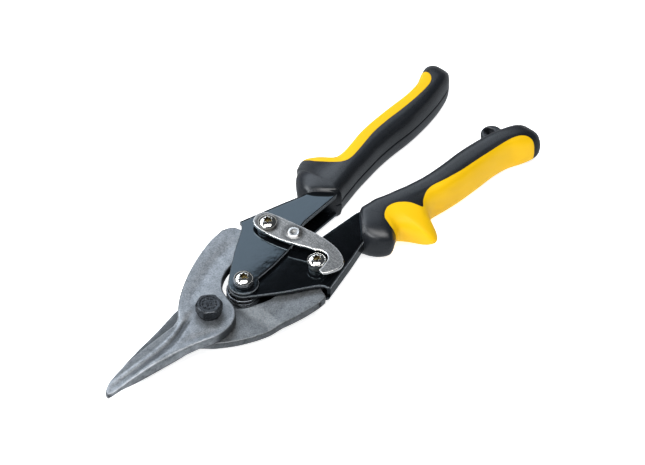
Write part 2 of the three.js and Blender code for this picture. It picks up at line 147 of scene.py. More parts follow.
def inside(points, loop):
    a, b = loop, np.roll(loop, -1, 0)
    x, y = points[:, 0][:, None], points[:, 1][:, None]
    rise = b[:, 1] - a[:, 1]
    crosses = (a[:, 1] > y) != (b[:, 1] > y)
    at = a[:, 0] + (y - a[:, 1]) / np.where(rise == 0, 1e-12, rise) * (b[:, 0] - a[:, 0])
    return (crosses & (x < at)).sum(1) % 2 == 1


RINGS = (0.04, 0.12, 0.24, 0.4, 0.62, 0.95, 1.4, 2.0)  # how far from an edge the rows of points lie


def plate(outline, top, low, holes, edge, under, step, longest, rings=RINGS):
    """A plate between two height fields, with rounded edges: points, faces and distance from an edge.

    top, low and the edges' radii, edge and under, are numbers or functions of x and y. The points stand
    a step apart, and at most so long apart along an edge.
    """
    outer = cut_up(turned_loop(outline), longest)
    loops = [outer] + [cut_up(turned_loop(h, clockwise=True), longest) for h in holes]
    fixed = np.vstack(loops)
    sides, first = [], 0
    for loop in loops:
        n = len(loop)
        sides += [(first + i, first + (i + 1) % n) for i in range(n)]
        first += n
    extra = []
    for offset in rings:
        for loop in loops:
            along = np.roll(loop, -1, 0) - np.roll(loop, 1, 0)
            along /= np.maximum(np.linalg.norm(along, axis=1), 1e-9)[:, None]
            ring = loop + np.column_stack([-along[:, 1], along[:, 0]]) * offset
            extra.append(ring[to_loops(ring, loops) > 0.85 * offset])
    low_corner, high_corner = fixed.min(0), fixed.max(0)
    xs = np.arange(low_corner[0], high_corner[0], step)
    ys = np.arange(low_corner[1], high_corner[1], step * 0.866)
    grid = np.array([(x + (j % 2) * step / 2, y) for j, y in enumerate(ys) for x in xs])
    grid = grid[to_loops(grid, loops) > rings[-1] + 0.4 * step]
    extra.append(grid)
    extra = np.vstack(extra)
    keep = inside(extra, outer)
    for hole in loops[1:]:
        keep &= ~inside(extra, hole)
    everything = np.vstack([fixed, extra[keep]])
    verts, _, tris, _, _, _ = geometry.delaunay_2d_cdt(
        [Vector(p) for p in everything], sides, [], 0, 1e-5
    )
    flat = np.array([(v.x, v.y) for v in verts])
    tris = np.array([t for t in tris if len(t) == 3])
    middle = flat[tris].mean(1)
    keep = inside(middle, outer)
    for hole in loops[1:]:
        keep &= ~inside(middle, hole)
    tris = tris[keep]
    a, b, c = flat[tris[:, 0]], flat[tris[:, 1]], flat[tris[:, 2]]
    wrong = (b[:, 0] - a[:, 0]) * (c[:, 1] - a[:, 1]) < (b[:, 1] - a[:, 1]) * (c[:, 0] - a[:, 0])
    tris[wrong] = tris[wrong][:, ::-1]
    used = np.unique(tris)
    index = np.full(len(flat), -1)
    index[used] = np.arange(len(used))
    flat, tris = flat[used], index[tris]
    distance = to_loops(flat, loops)
    x, y = flat[:, 0], flat[:, 1]

    def value(field):
        return field(x, y) if callable(field) else np.full(len(x), float(field))

    def rounded(radius):
        radius = np.maximum(value(radius), 1e-6)
        short = np.clip(radius - distance, 0, None)
        return radius - np.sqrt(np.maximum(radius**2 - short**2, 0))

    upper = np.column_stack([flat, value(top) - rounded(edge)])
    lower = np.column_stack([flat, value(low) + rounded(under)])
    n = len(flat)
    tris = tris.tolist()
    edges = dict.fromkeys((t[i], t[(i + 1) % 3]) for t in tris for i in range(3))
    walls = [(i, i + n, j + n, j) for i, j in edges if (j, i) not in edges]
    faces = [tuple(t) for t in tris] + [(c + n, b + n, a + n) for a, b, c in tris]
    return np.vstack([upper, lower]), faces + walls, np.concatenate([distance, distance])


def stacked(rings, tips=(), closed=False, flip=False):
    """Rings of as many points each, skinned one to the next.

    The ends are flat, or drawn to a tip each, or the last ring is joined to the first one.
    """
    rows, around = len(rings), len(rings[0])
    faces = []
    for i in range(rows if closed else rows - 1):
        a, b = i * around, (i + 1) % rows * around
        faces += [(a + k, a + (k + 1) % around, b + (k + 1) % around, b + k) for k in range(around)]
    last = (rows - 1) * around
    if len(tips):
        first_tip = rows * around
        faces += [((k + 1) % around, k, first_tip) for k in range(around)]
        faces += [(last + k, last + (k + 1) % around, first_tip + 1) for k in range(around)]
    elif not closed:
        faces += [tuple(range(around))[::-1], tuple(range(last, last + around))]
    if flip:
        faces = [face[::-1] for face in faces]
    return np.vstack([*rings, *tips]), faces


def lathe(profile):
    """A round piece from (radius, height) points, bottom first, starting and ending on the axis."""
    rings = [ring_at(r, z, 64) for r, z in profile[1:-1]]
    return stacked(rings, [(0, 0, profile[0][1]), (0, 0, profile[-1][1])])


def washer(radius, bore, low, high, cx=0.0, cy=0.0, fillet=0.25):
    """A flat ring with rounded corners."""
    section = []
    for r, z, start in ((bore, low, 180), (radius, low, 270), (radius, high, 0), (bore, high, 90)):
        inward = fillet if r == bore else -fillet
        upward = fillet if z == low else -fillet
        section += arc(r + inward, z + upward, fillet, start, start + 90, 4)
    return stacked([ring_at(r, z, 64, cx, cy) for r, z in section], closed=True)


def tube(path, radius):
    """A round wire along a path, with a rounded nose at each end."""
    path = np.asarray(path, float)
    tangent = np.gradient(path, axis=0)
    tangent /= np.linalg.norm(tangent, axis=1)[:, None]
    across = np.cross(tangent, (0, 0, 1))
    across /= np.maximum(np.linalg.norm(across, axis=1), 1e-9)[:, None]
    up = np.cross(across, tangent)
    section = np.array(circle(0, 0, radius, 12))

    def ring(i, ahead=0.0, share=1.0):
        middle = path[i] + ahead * radius * tangent[i]
        return middle + share * (section[:, :1] * across[i] + section[:, 1:] * up[i])

    rings = [ring(0, -0.45, 0.8), *(ring(i) for i in range(len(path))), ring(-1, 0.45, 0.8)]
    noses = [path[0] - 0.7 * radius * tangent[0], path[-1] + 0.7 * radius * tangent[-1]]
    return stacked(rings, noses)


def joined(*parts):
    """Several (points, faces) as one mesh."""
    points, faces, start = [], [], 0
    for p, f in parts:
        points.append(np.asarray(p, float))
        faces += [tuple(int(i) + start for i in face) for face in f]
        start += len(p)
    return np.vstack(points), faces


def ease(x, low, high):
    """0 below low, 1 above high, and smooth between."""
    t = np.clip((np.asarray(x, float) - low) / (high - low), 0, 1)
    return t * t * (3 - 2 * t)


def least(a, b, soft):
    """The lower of two heights, rounded where they cross."""
    h = np.clip(0.5 + (b - a) / (2 * soft), 0, 1)
    return b * (1 - h) + a * h - soft * h * (1 - h)


# ---- Materials ----
def node_material(name):
    material = bpy.data.materials.new(name)
    material.use_nodes = True
    tree = material.node_tree
    shader = tree.nodes["Principled BSDF"]
    return material, tree, shader


def add(tree, kind, **values):
    node = tree.nodes.new(kind)
    for key, value in values.items():
        if key in node.inputs:
            node.inputs[key].default_value = value
        else:
            setattr(node, key, value)
    return node


def object_coords(tree):
    return add(tree, "ShaderNodeTexCoord").outputs["Object"]


def noise(tree, coords, scale, detail, rough, stretch=None):
    if stretch:
        mapping = add(tree, "ShaderNodeMapping")
        mapping.inputs["Scale"].default_value = stretch
        tree.links.new(coords, mapping.inputs["Vector"])
        coords = mapping.outputs["Vector"]
    node = add(tree, "ShaderNodeTexNoise", Scale=scale, Detail=detail, Roughness=rough)
    tree.links.new(coords, node.inputs["Vector"])
    return node.outputs["Fac"]


def ramp(tree, source, stops):
    node = add(tree, "ShaderNodeValToRGB")
    while len(node.color_ramp.elements) < len(stops):
        node.color_ramp.elements.new(0.5)
    for element, (place, colour) in zip(node.color_ramp.elements, stops):
        element.position = place
        element.color = (*colour, 1) if len(colour) == 3 else colour
    tree.links.new(source, node.inputs["Fac"])
    return node.outputs["Color"]


def spread(tree, source, low, high, start, end):
    """The source's range from start to end, spread from low to high."""
    node = add(tree, "ShaderNodeMapRange")
    node.inputs["From Min"].default_value = start
    node.inputs["From Max"].default_value = end
    node.inputs["To Min"].default_value = low
    node.inputs["To Max"].default_value = high
    tree.links.new(source, node.inputs["Value"])
    return node.outputs["Result"]


def blended(tree, factor, a, b):
    node = add(tree, "ShaderNodeMix", data_type="RGBA")
    for socket, value in ((node.inputs[6], a), (node.inputs[7], b)):
        if isinstance(value, tuple):
            socket.default_value = (*value, 1)
        else:
            tree.links.new(value, socket)
    tree.links.new(factor, node.inputs[0])
    return node.outputs[2]


def sums(tree, kind, a, b):
    node = add(tree, "ShaderNodeMath", operation=kind)
    for socket, value in zip(node.inputs, (a, b)):
        if isinstance(value, (int, float)):
            socket.default_value = value
        else:
            tree.links.new(value, socket)
    return node.outputs["Value"]


def attribute(tree, name):
    return add(tree, "ShaderNodeAttribute", attribute_name=name).outputs["Fac"]


def bumps(tree, shader, *layers):
    """Bump layers of (height, strength, distance in metres), the coarsest first."""
    normal = None
    for height, strength, distance in layers:
        node = add(tree, "ShaderNodeBump", Strength=strength, Distance=distance)
        tree.links.new(height, node.inputs["Height"])
        if normal is not None:
            tree.links.new(normal, node.inputs["Normal"])
        normal = node.outputs["Normal"]
    tree.links.new(normal, shader.inputs["Normal"])


def forged_steel(name, dark, light):
    """Bead-blasted forged steel: mottled grey, with painted shade in its hollows and painted highlights
    along its edges.
    """
    material, tree, shader = node_material(name)
    shader.inputs["Metallic"].default_value = 0.88
    coords = object_coords(tree)
    cloud = noise(tree, coords, 330, 4, 0.62)
    speck = noise(tree, coords, 1500, 2, 0.6)
    tone = sums(tree, "ADD", sums(tree, "MULTIPLY", cloud, 0.4), sums(tree, "MULTIPLY", speck, 0.6))
    colour = ramp(tree, tone, [(0.3, dark), (0.7, light)])
    # Painted shade: the colour is darkened towards near-black where a per-point attribute is high.
    painted_shade = attribute(tree, "painted_shade")
    colour = blended(tree, painted_shade, colour, (0.05, 0.055, 0.06))
    # Painted highlight: the colour is lightened along the edges and crests that a per-point attribute marks.
    painted_highlight = sums(tree, "MULTIPLY", attribute(tree, "rim"), spread(tree, cloud, 0.1, 0.6, 0.35, 0.65))
    colour = blended(tree, painted_highlight, colour, tuple(min(1, 1.45 * c) for c in light))
    tree.links.new(colour, shader.inputs["Base Color"])
    tree.links.new(spread(tree, speck, 0.36, 0.56, 0.3, 0.7), shader.inputs["Roughness"])
    bumps(tree, shader, (cloud, 0.25, 0.0006), (speck, 0.35, 0.00012))
    return material


def gloss_paint(name, gloss):
    """Black gloss paint on pressed sheet, with a faint ripple, a few dull marks and a painted highlight
    along its outer arrises.
    """
    material, tree, shader = node_material(name)
    coords = object_coords(tree)
    ripple = noise(tree, coords, 220, 2, 0.5)
    dust = noise(tree, coords, 2600, 2, 0.7)
    colour = ramp(tree, ripple, [(0.3, (0.002, 0.0025, 0.003)), (0.7, (0.0035, 0.004, 0.005))])
    # Painted highlight: a grey line along the arrises that a per-point attribute marks, broken up by the
    # dust noise.
    edge = sums(tree, "POWER", attribute(tree, "rim"), 3.0)
    painted_highlight = sums(tree, "MULTIPLY", edge, spread(tree, dust, 0.3, 0.9, 0.4, 0.62))
    colour = blended(tree, painted_highlight, colour, (0.24, 0.26, 0.28))
    tree.links.new(colour, shader.inputs["Base Color"])
    tree.links.new(spread(tree, dust, 0.03, 0.07, 0.35, 0.7), shader.inputs["Roughness"])
    shader.inputs["Specular IOR Level"].default_value = gloss
    shader.inputs["Specular Tint"].default_value = (0.66, 0.86, 1, 1)
    bumps(tree, shader, (ripple, 0.03, 0.0004), (dust, 0.02, 0.00004))
    return material


def moulded(name, dark, light, roughness, grain, gloss=0.5):
    """Moulded rubber or plastic with a fine spark-eroded grain and soft colour drift."""
    material, tree, shader = node_material(name)
    coords = object_coords(tree)
    drift = noise(tree, coords, 45, 3, 0.5)
    fine = noise(tree, coords, 3200, 2, 0.6)
    colour = ramp(tree, drift, [(0.32, dark), (0.68, light)])
    tree.links.new(colour, shader.inputs["Base Color"])
    low, high = roughness
    tree.links.new(spread(tree, fine, low, high, 0.3, 0.7), shader.inputs["Roughness"])
    shader.inputs["Specular IOR Level"].default_value = gloss
    bumps(tree, shader, (fine, grain, 0.00006))
    return material


def plated_steel(name):
    """Satin nickel plate: speckled grain, fine draw lines, polished edges with a painted highlight, and
    painted shade where marked.
    """
    material, tree, shader = node_material(name)
    shader.inputs["Metallic"].default_value = 1.0
    coords = object_coords(tree)
    speck = noise(tree, coords, 1700, 3, 0.7)
    lines = noise(tree, coords, 260, 3, 0.6, stretch=(9, 1, 1))
    tone = sums(tree, "ADD", sums(tree, "MULTIPLY", speck, 0.65), sums(tree, "MULTIPLY", lines, 0.35))
    greys = [(0.38, (0.14, 0.138, 0.135)), (0.5, (0.26, 0.257, 0.25)), (0.62, (0.48, 0.473, 0.46))]
    colour = ramp(tree, tone, greys)
    # Painted shade darkens the marked places, and a painted highlight lightens the edges.
    colour = blended(tree, attribute(tree, "painted_shade"), colour, (0.05, 0.05, 0.05))
    rim = attribute(tree, "rim")
    colour = blended(tree, rim, colour, (0.86, 0.85, 0.83))
    tree.links.new(colour, shader.inputs["Base Color"])
    rough = spread(tree, speck, 0.34, 0.52, 0.3, 0.7)
    tree.links.new(
        sums(tree, "SUBTRACT", rough, sums(tree, "MULTIPLY", rim, 0.3)), shader.inputs["Roughness"]
    )
    bumps(tree, shader, (lines, 0.1, 0.0002), (speck, 0.4, 0.00008))
    return material


def bright_nickel(name):
    """Bright nickel, with painted shade in dark brown down in the drive recess and faint handling haze."""
    material, tree, shader = node_material(name)
    shader.inputs["Metallic"].default_value = 1.0
    coords = object_coords(tree)
    haze = noise(tree, coords, 900, 3, 0.6)
    colour = ramp(tree, haze, [(0.3, (0.7, 0.685, 0.65)), (0.7, (0.86, 0.85, 0.82))])
    # Painted shade in the drive recess.
    colour = blended(tree, attribute(tree, "recess"), colour, (0.1, 0.075, 0.03))
    tree.links.new(colour, shader.inputs["Base Color"])
    tree.links.new(spread(tree, haze, 0.08, 0.2, 0.35, 0.7), shader.inputs["Roughness"])
    bumps(tree, shader, (haze, 0.06, 0.00005))
    return material


def plain_metal(name, dark, light, metallic, roughness, grain=0.2):
    """Oxide or zinc finish: a fine mottled film on steel."""
    material, tree, shader = node_material(name)
    shader.inputs["Metallic"].default_value = metallic
    coords = object_coords(tree)
    film = noise(tree, coords, 700, 4, 0.65)
    tree.links.new(ramp(tree, film, [(0.3, dark), (0.7, light)]), shader.inputs["Base Color"])
    tree.links.new(spread(tree, film, *roughness, 0.3, 0.7), shader.inputs["Roughness"])
    bumps(tree, shader, (film, grain, 0.0001))
    return material


STEEL = forged_steel("forged_steel", (0.118, 0.13, 0.143), (0.4, 0.422, 0.448))
LOWER_STEEL = forged_steel("forged_steel_lower", (0.085, 0.092, 0.098), (0.28, 0.294, 0.304))
PAINT = gloss_paint("black_paint", 0.62)
DEEP_PAINT = gloss_paint("black_paint_deep", 0.28)
RUBBER = moulded("grip_black", (0.006, 0.0075, 0.0095), (0.011, 0.013, 0.0165), (0.26, 0.36), 0.65)
YELLOW = moulded("grip_yellow", (0.72, 0.42, 0.003), (0.79, 0.475, 0.005), (0.36, 0.5), 0.22, 0.16)
PLATED = plated_steel("plated_steel")
NICKEL = bright_nickel("nickel")
OXIDE = plain_metal("black_oxide", (0.012, 0.014, 0.017), (0.04, 0.045, 0.052), 0.6, (0.16, 0.3), 0.3)
WIRE = plain_metal("spring_wire", (0.06, 0.066, 0.074), (0.14, 0.15, 0.165), 0.85, (0.14, 0.26), 0.1)
ZINC = plain_metal("zinc", (0.3, 0.31, 0.31), (0.52, 0.53, 0.52), 0.95, (0.28, 0.45))

# ---- Blades ----
# Outlines as for the upper blade, from the tip back. The lower blade's is mirrored in y.
UPPER_EDGE = [
    (63.2, -0.2), (62.3, -2.1), (58.5, -4.1), (51, -6), (43, -7.1), (33, -7.3), (24, -7), (16, -6.6),
]
UPPER_OUTER = [
    (16, -6.6), (11.8, -8.4), (8, -12), (3, -16), (-4, -20.4), (-12, -24.4), (-21, -27.9), (-31, -30.7),
    (-40, -31.7),
]
UPPER_SPINE = [
    (-2, 12.6), (3, 13.2), (8, 12.5), (16, 9.8), (26, 7.2), (36, 5.4), (46, 3.6), (56, 2.2), (61, 1.6),
    (62.8, 0.8),
]
LOWER_EDGE = [
    (63.9, -0.1), (63.2, -0.9), (56, -1.2), (46, -2.6), (36, -4.3), (26, -6), (20, -6.6), (16, -6.6),
]
LOWER_OUTER = [
    (16, -6.6), (12.5, -9.3), (5, -15.2), (0, -18.6), (-6.5, -22), (-11.5, -24), (-21.5, -27.3),
    (-31.5, -29.5), (-39.5, -30.4),
]
LOWER_SPINE = [
    (-2, 12.6), (3, 14.2), (8, 14.2), (16, 12.7), (26, 11.1), (36, 9.8), (46, 8), (55, 5.6), (60.6, 3.8),
    (63.2, 1.7),
]
INNER_EDGE = [
    (-46, -10.4), (-37, -11.8), (-28, -13), (-19.5, -10.4), (-14, -5.5), (-11.8, 0), (-10, 6), (-6.5, 10.3),
    (-2, 12.6),
]
TAIL_CORNER = [(-44.1, -30.1), (-45.5, -28.3), (-46.1, -26.4), (-47.4, -24)]
TAIL_RADIUS = 7.6


def blade_outline(edge, outer, spine):
    points = smooth(edge) + smooth(outer)[1:]
    points += smooth([points[-1]] + TAIL_CORNER)[1:]
    points += arc(TAIL_X, -TAIL_Y, TAIL_RADIUS, 285, 75, 24)
    points += smooth(INNER_EDGE) + smooth(spine)[1:]
    return points


def jaw_height(x, y):
    """Outer face of a jaw above its contact face, from the boss to the tip."""
    full = BLADE_TOP - 0.122 * np.clip(x - 38, 0, None)
    tilt = math.radians(7)
    rise = (y + 9.2) * math.cos(tilt) - (x - 44) * math.sin(tilt)
    bevel = 0.62 + rise * math.tan(math.radians(23))
    return BLADE_TOP + (least(full, np.maximum(bevel, 1.0), 0.5) - BLADE_TOP) * ease(x, 8.5, 17.5)


def valley(x, y, route, width):
    """How deep a point lies in a rounded groove that follows (x, y, depth) points."""
    route = np.array(route, float)
    centre = np.interp(x, route[:, 0], route[:, 1])
    depth = np.interp(x, route[:, 0], route[:, 2])
    return depth * np.exp(-(((y - centre) / width) ** 2))


JAW_GROOVE = [
    (4, -5.6, 0), (7, -4.8, 0.4), (11, -3.5, 1.1), (16, -1.7, 1.1), (20, -0.4, 0.95), (25, 0.7, 0.9),
    (32, 1, 0.95), (40, 0.4, 0.95), (48, -0.2, 0.8), (56, -0.9, 0.45), (61, -0.9, 0),
]
BOSS_GROOVE = [(3, 10.6, 0), (8, 9.4, 0.4), (12, 7.8, 0.55), (18, 5.6, 0.35), (26, 4, 0)]
TAIL_DISH = [
    (-42, -21, 0), (-34, -21.5, 0.5), (-22, -19.5, 0.6), (-10, -15.5, 0.5), (0, -11.5, 0.25), (6, -8, 0),
]


def jaw_hollows(x, y):
    return valley(x, y, JAW_GROOVE, 1.5) + valley(x, y, BOSS_GROOVE, 1.9)


def upper_top(x, y):
    thinned = 0.3 * ease(-x, 38, 45)  # clears the bend of the channel's sheet when the jaws are open
    return jaw_height(x, y) - jaw_hollows(x, y) - valley(x, y, TAIL_DISH, 3.4) - thinned


def upper_rounding(x, y):
    spine = ease(y, -1.5, 1.5) * ease(x, 8, 16)
    cutting = ease(x, 12, 18) * (1 - ease(y, -1.5, 1.5))
    return 0.65 + 0.75 * spine * (1 - ease(x, 46, 60)) - 0.4 * cutting


def tail_shift(x):
    """How far the lower blade has stepped from its jaw up to its tail, at mid-height."""
    return ease(-x, 12.5, 21)


def lower_top(x, y):
    step = tail_shift(x)
    dish = 0.3 * step * np.exp(-(((y - 20) / 5) ** 2))
    return -CONTACT + (TAIL_HALF + CONTACT) * step - dish


def lower_low(x, y):
    drop = -jaw_height(x, -y) + 0.7 * jaw_hollows(x, -y)
    return drop + (-TAIL_HALF - drop) * tail_shift(x)


def lower_under(x, y):
    return 1.5 - 0.9 * tail_shift(x)


def blade_piece(
    name, node, body, outline, tail_y, top, low, edge, under, painted_shade, painted_highlight, edge_shade, material
):
    """A blade, with a painted highlight along the jaw's edges and painted shade along part of the other
    edges.
    """
    holes = [circle(0, 0, BOLT_BORE), circle(TAIL_X, tail_y, SCREW_BORE)]
    points, faces, distance = plate(outline, top, low, holes, edge, under, step=0.8, longest=0.7)
    # Painted highlight along the jaw's edges and crest, and painted shade along the other edges' fillets.
    on_jaw = ease(points[:, 0], 4, 12)
    rim = np.maximum(np.exp(-((distance / 0.9) ** 2)) * on_jaw, painted_highlight(points))
    scale = edge_shade * np.exp(-((distance / 0.45) ** 2)) * (1 - on_jaw)
    new_piece(
        name, points, faces, body, [node], "forged_steel", material,
        {"rim": rim, "painted_shade": np.maximum(painted_shade(points), scale)},
    )


def ridge_highlight(points):
    """A painted highlight along the crest between a jaw's bevel and its groove."""
    x, y, z = points.T
    route = np.array(JAW_GROOVE, float)
    crest = np.interp(x, route[:, 0], route[:, 1]) - 2.5 + 0.8 * ease(x, 44, 58)
    return 0.8 * np.exp(-(((y - crest) / 0.6) ** 2)) * ease(x, 8, 14) * (1 - ease(x, 54, 61)) * (z > 0.5)


def upper_painted_shade(points):
    """Painted shade in the jaw's hollows and a painted shadow in a ring round the bolt."""
    x, y, z = points.T
    ring = 0.5 * np.exp(-(((np.hypot(x, y) - 6.5) / 2.4) ** 2))
    hollows = np.clip(jaw_hollows(x, y) / 0.9, 0, 1) ** 1.5
    return np.maximum(0.75 * hollows, ring) * (z > 0.5)


def lower_painted_shade(points):
    """Painted shade in the step before the tail and over the flat of the jaw."""
    x, _, z = points.T
    return (0.3 * np.exp(-(((x + 16) / 5) ** 2)) + 0.7 * ease(x, 2, 10)) * (z > -1)


def no_highlight(points):
    return np.zeros(len(points))


blade_piece(
    "upper_jaw", "upper_blade", "upper", blade_outline(UPPER_EDGE, UPPER_OUTER, UPPER_SPINE), -TAIL_Y,
    upper_top, CONTACT, upper_rounding, 0.2, upper_painted_shade, ridge_highlight, 0.8, STEEL,
)
lower_outline = mirrored(blade_outline(LOWER_EDGE, LOWER_OUTER, LOWER_SPINE), -1)
blade_piece(
    "lower_jaw", "lower_blade", "lower", lower_outline, TAIL_Y,
    lower_top, lower_low, 0.45, lower_under, lower_painted_shade, no_highlight, 0.0, LOWER_STEEL,
)


# ---- Pivot bolt ----
def hexagon_radius(angle, flats):
    sector = (angle + math.pi / 6) % (math.pi / 3) - math.pi / 6
    return min(flats / 2 / math.cos(sector), flats / math.sqrt(3) - 0.12)


def hexagon_head(flats, low, high, turn=0.0, texture=None, bore=0.0, chamfer_low=False, cx=0.0, cy=0.0):
    """A hexagon with chamfered corners, bored or with a texture(radius, angle) raised on its top."""
    segments = 96
    start = flats * 0.47
    chamfer = math.tan(math.radians(30))
    top_radii = np.linspace(bore, start, 6) if bore else np.linspace(0, start, 30)[1:]
    rows = [("top", r) for r in top_radii]
    rows += [("corner", s) for s in (0.35, 0.7, 0.92, 1.0)]
    rows += [("side", s) for s in (0.06, 0.5, 0.94, 1.0)]
    rows += [("under", s) for s in (0.9, 0.4)]
    rings = []
    for kind, s in rows:
        ring = []
        for k in range(segments):
            a = 2 * math.pi * k / segments
            edge = hexagon_radius(a + turn, flats)
            fall = (edge - start) * chamfer
            if kind == "top":
                r, z = s, high + (texture(s, a) if texture else 0.0)
            elif kind == "corner":
                r, z = start + (edge - start) * s, high - fall * s
            elif kind == "side":
                bottom = low + fall if chamfer_low else low
                r, z = edge, high - fall + (bottom - high + fall) * s
            else:
                r, z = bore + (edge - bore) * s, low
            ring.append((cx + r * math.cos(a), cy + r * math.sin(a), z))
        rings.append(ring)
    if bore:
        return stacked(rings, closed=True, flip=True)
    return stacked(rings, [(cx, cy, high + texture(0, 0)), (cx, cy, low)], flip=True)


def grade_marks(r, a):
    """Raised generic marks: a broken ring round two short bars, with a shallow dish inside the rim."""
    x, y = r * math.cos(a + 0.5), r * math.sin(a + 0.5)
    band = float(ease(r, 2.5, 2.75) * (1 - ease(r, 3.35, 3.6)))
    breaks = float(ease(math.cos(9 * a), -0.35, 0.1))
    bars = float((1 - ease(abs(abs(x) - 0.8), 0.25, 0.45)) * (1 - ease(abs(y), 1.2, 1.5)))
    return 0.32 * max(band * breaks, bars) - 0.1 * float(1 - ease(r, 3.9, 4.4))


BOLT_BASE = 6.1
bolt = joined(
    hexagon_head(11.0, BOLT_BASE, 10.4, turn=0.15, texture=grade_marks),
    lathe([(0, -10), (3.1, -10), (3.5, -9.6), (3.5, BOLT_BASE + 0.3), (0, BOLT_BASE + 0.3)]),
)
new_piece("pivot_bolt_hex", *bolt, "lower", ["pivot_bolt"], "black_oxide", OXIDE, sharp=28)
new_piece(
    "pivot_bolt_washer", *washer(5.6, BOLT_BORE, 4.8, 6.0), "lower", ["pivot_washer"], "black_oxide", OXIDE
)
new_piece(
    "pivot_bolt_nut", *hexagon_head(11.3, -9.6, -4.8, bore=3.6, chamfer_low=True),
    "lower", ["pivot_nut"], "black_oxide", OXIDE, sharp=28,
)

# ---- Handle channels ----
# Outlines as for the left handle. The right handle's is mirrored in y.
FRONT_EDGE = [(-26, 11.7), (-34, 17.3), (-40.2, 21), (-45.3, 24.4), (-46.9, 26.3), (-47.7, 27.9)]
WEB_EDGE = [
    (-48.9, 28.7), (-55.5, 26.9), (-61, 25.4), (-70, 22.9), (-80, 19.9), (-92, 17.4), (-98, 17.4),
    (-110, 19.2), (-130, 21.8), (-140, 22.5),
]
OPEN_EDGE = [
    (-140, 17.7), (-130, 16.9), (-110, 12.6), (-98, 9.4), (-90, 7), (-68, 6), (-62, 4.2), (-55, 0.6),
    (-50, -1), (-39, -2.6), (-30, -3),
]
WEB_START = -49.2
INNER_BEND = 0.6


def channel(name, node, body, side, outer, inner, pivot_hole, paint):
    """A folded sheet: two plates joined by a web, with round bends along the web."""
    sheet = outer - inner
    web = smooth(WEB_EDGE, 5)
    front = smooth([(-17.9, 5.7)] + FRONT_EDGE + [WEB_EDGE[0]], 5)[1:-1]
    widening = 1.3 if side > 0 else 0.0  # the left plates reach further in, between the latch and the grip
    opening = [(x, y - widening * ease(-x, 60, 68) * ease(x, -110, -98)) for x, y in OPEN_EDGE]
    outline = arc(PIVOT_X, 0, 7, -155, 54, 28) + front + web + opening
    outline = mirrored(outline, side)
    holes = [circle(PIVOT_X, 0, pivot_hole), circle(TAIL_X, side * TAIL_Y, SCREW_BORE)]
    web_array = np.array(mirrored(web, side))

    def from_web(x, y):
        p = np.column_stack([x, y])
        a, b = web_array[:-1], web_array[1:]
        along = b - a
        rel = p[:, None, :] - a[None]
        t = np.clip((rel * along[None]).sum(2) / (along**2).sum(1)[None], 0, 1)
        return np.sqrt(((rel - t[..., None] * along[None]) ** 2).sum(2)).min(1)

    bend = sheet + INNER_BEND

    def bent(radius, start):
        """How far a bend has dropped, by its distance from the web's outer face."""

        def drop(x, y):
            short = np.clip(start + radius - from_web(x, y), 0, radius)
            return radius - np.sqrt(np.maximum(radius**2 - short**2, 0))

        return drop

    over, beneath = bent(bend, 0.0), bent(INNER_BEND, sheet)

    def rounding(x, y):
        return 0.45 - 0.42 * (1 - ease(from_web(x, y), 0.5, 1.5))

    lines = RINGS + (2.7, 3.4)
    top = plate(
        outline, lambda x, y: outer - over(x, y), lambda x, y: inner - beneath(x, y),
        holes, rounding, 0.2, step=1.6, longest=1.0, rings=lines,
    )
    low = plate(
        outline, lambda x, y: beneath(x, y) - inner, lambda x, y: over(x, y) - outer,
        holes, 0.2, rounding, step=1.6, longest=1.0, rings=lines,
    )
    # The web stands between the plates, under their rounded bends.
    run = [p for p in web_array if p[0] <= WEB_START]
    start = web_array[0] + (web_array[1] - web_array[0]) * (
        (WEB_START - web_array[0][0]) / (web_array[1][0] - web_array[0][0])
    )
    run = np.array([start] + run)
    along = np.gradient(run, axis=0)
    along /= np.linalg.norm(along, axis=1)[:, None]
    inward = np.column_stack([-along[:, 1], along[:, 0]]) * (1 if side > 0 else -1)
    levels = np.linspace(INNER_BEND - inner - 0.02, inner - INNER_BEND + 0.02, 9)
    section = [(0, z) for z in levels] + [(sheet, z) for z in levels[::-1]]
    sections = [[(*(p + n * d), z) for d, z in section] for p, n in zip(run, inward)]
    web_part = stacked(sections, flip=side < 0)
    # The painted highlight lies only along the arrises of the sheet, not its cut faces.
    rims = []
    for points, _, distance in (top, low):
        upper = np.arange(len(points)) < len(points) // 2
        rims.append(np.exp(-((distance / 0.34) ** 2)) * (upper if points is top[0] else ~upper))
    rim = np.concatenate([*rims, np.zeros(len(web_part[0]))])
    sheets = joined(top[:2], low[:2], web_part)
    new_piece(name, *sheets, body, [node], "black_paint", paint, {"rim": rim}, sharp=50)


channel("right_channel", "right_handle", "right", -1, RIGHT_OUTER, RIGHT_INNER, SCREW_BORE, PAINT)
channel("left_channel", "left_handle", "left", 1, LEFT_OUTER, LEFT_INNER, SLEEVE + SLEEVE_PLAY, DEEP_PAINT)

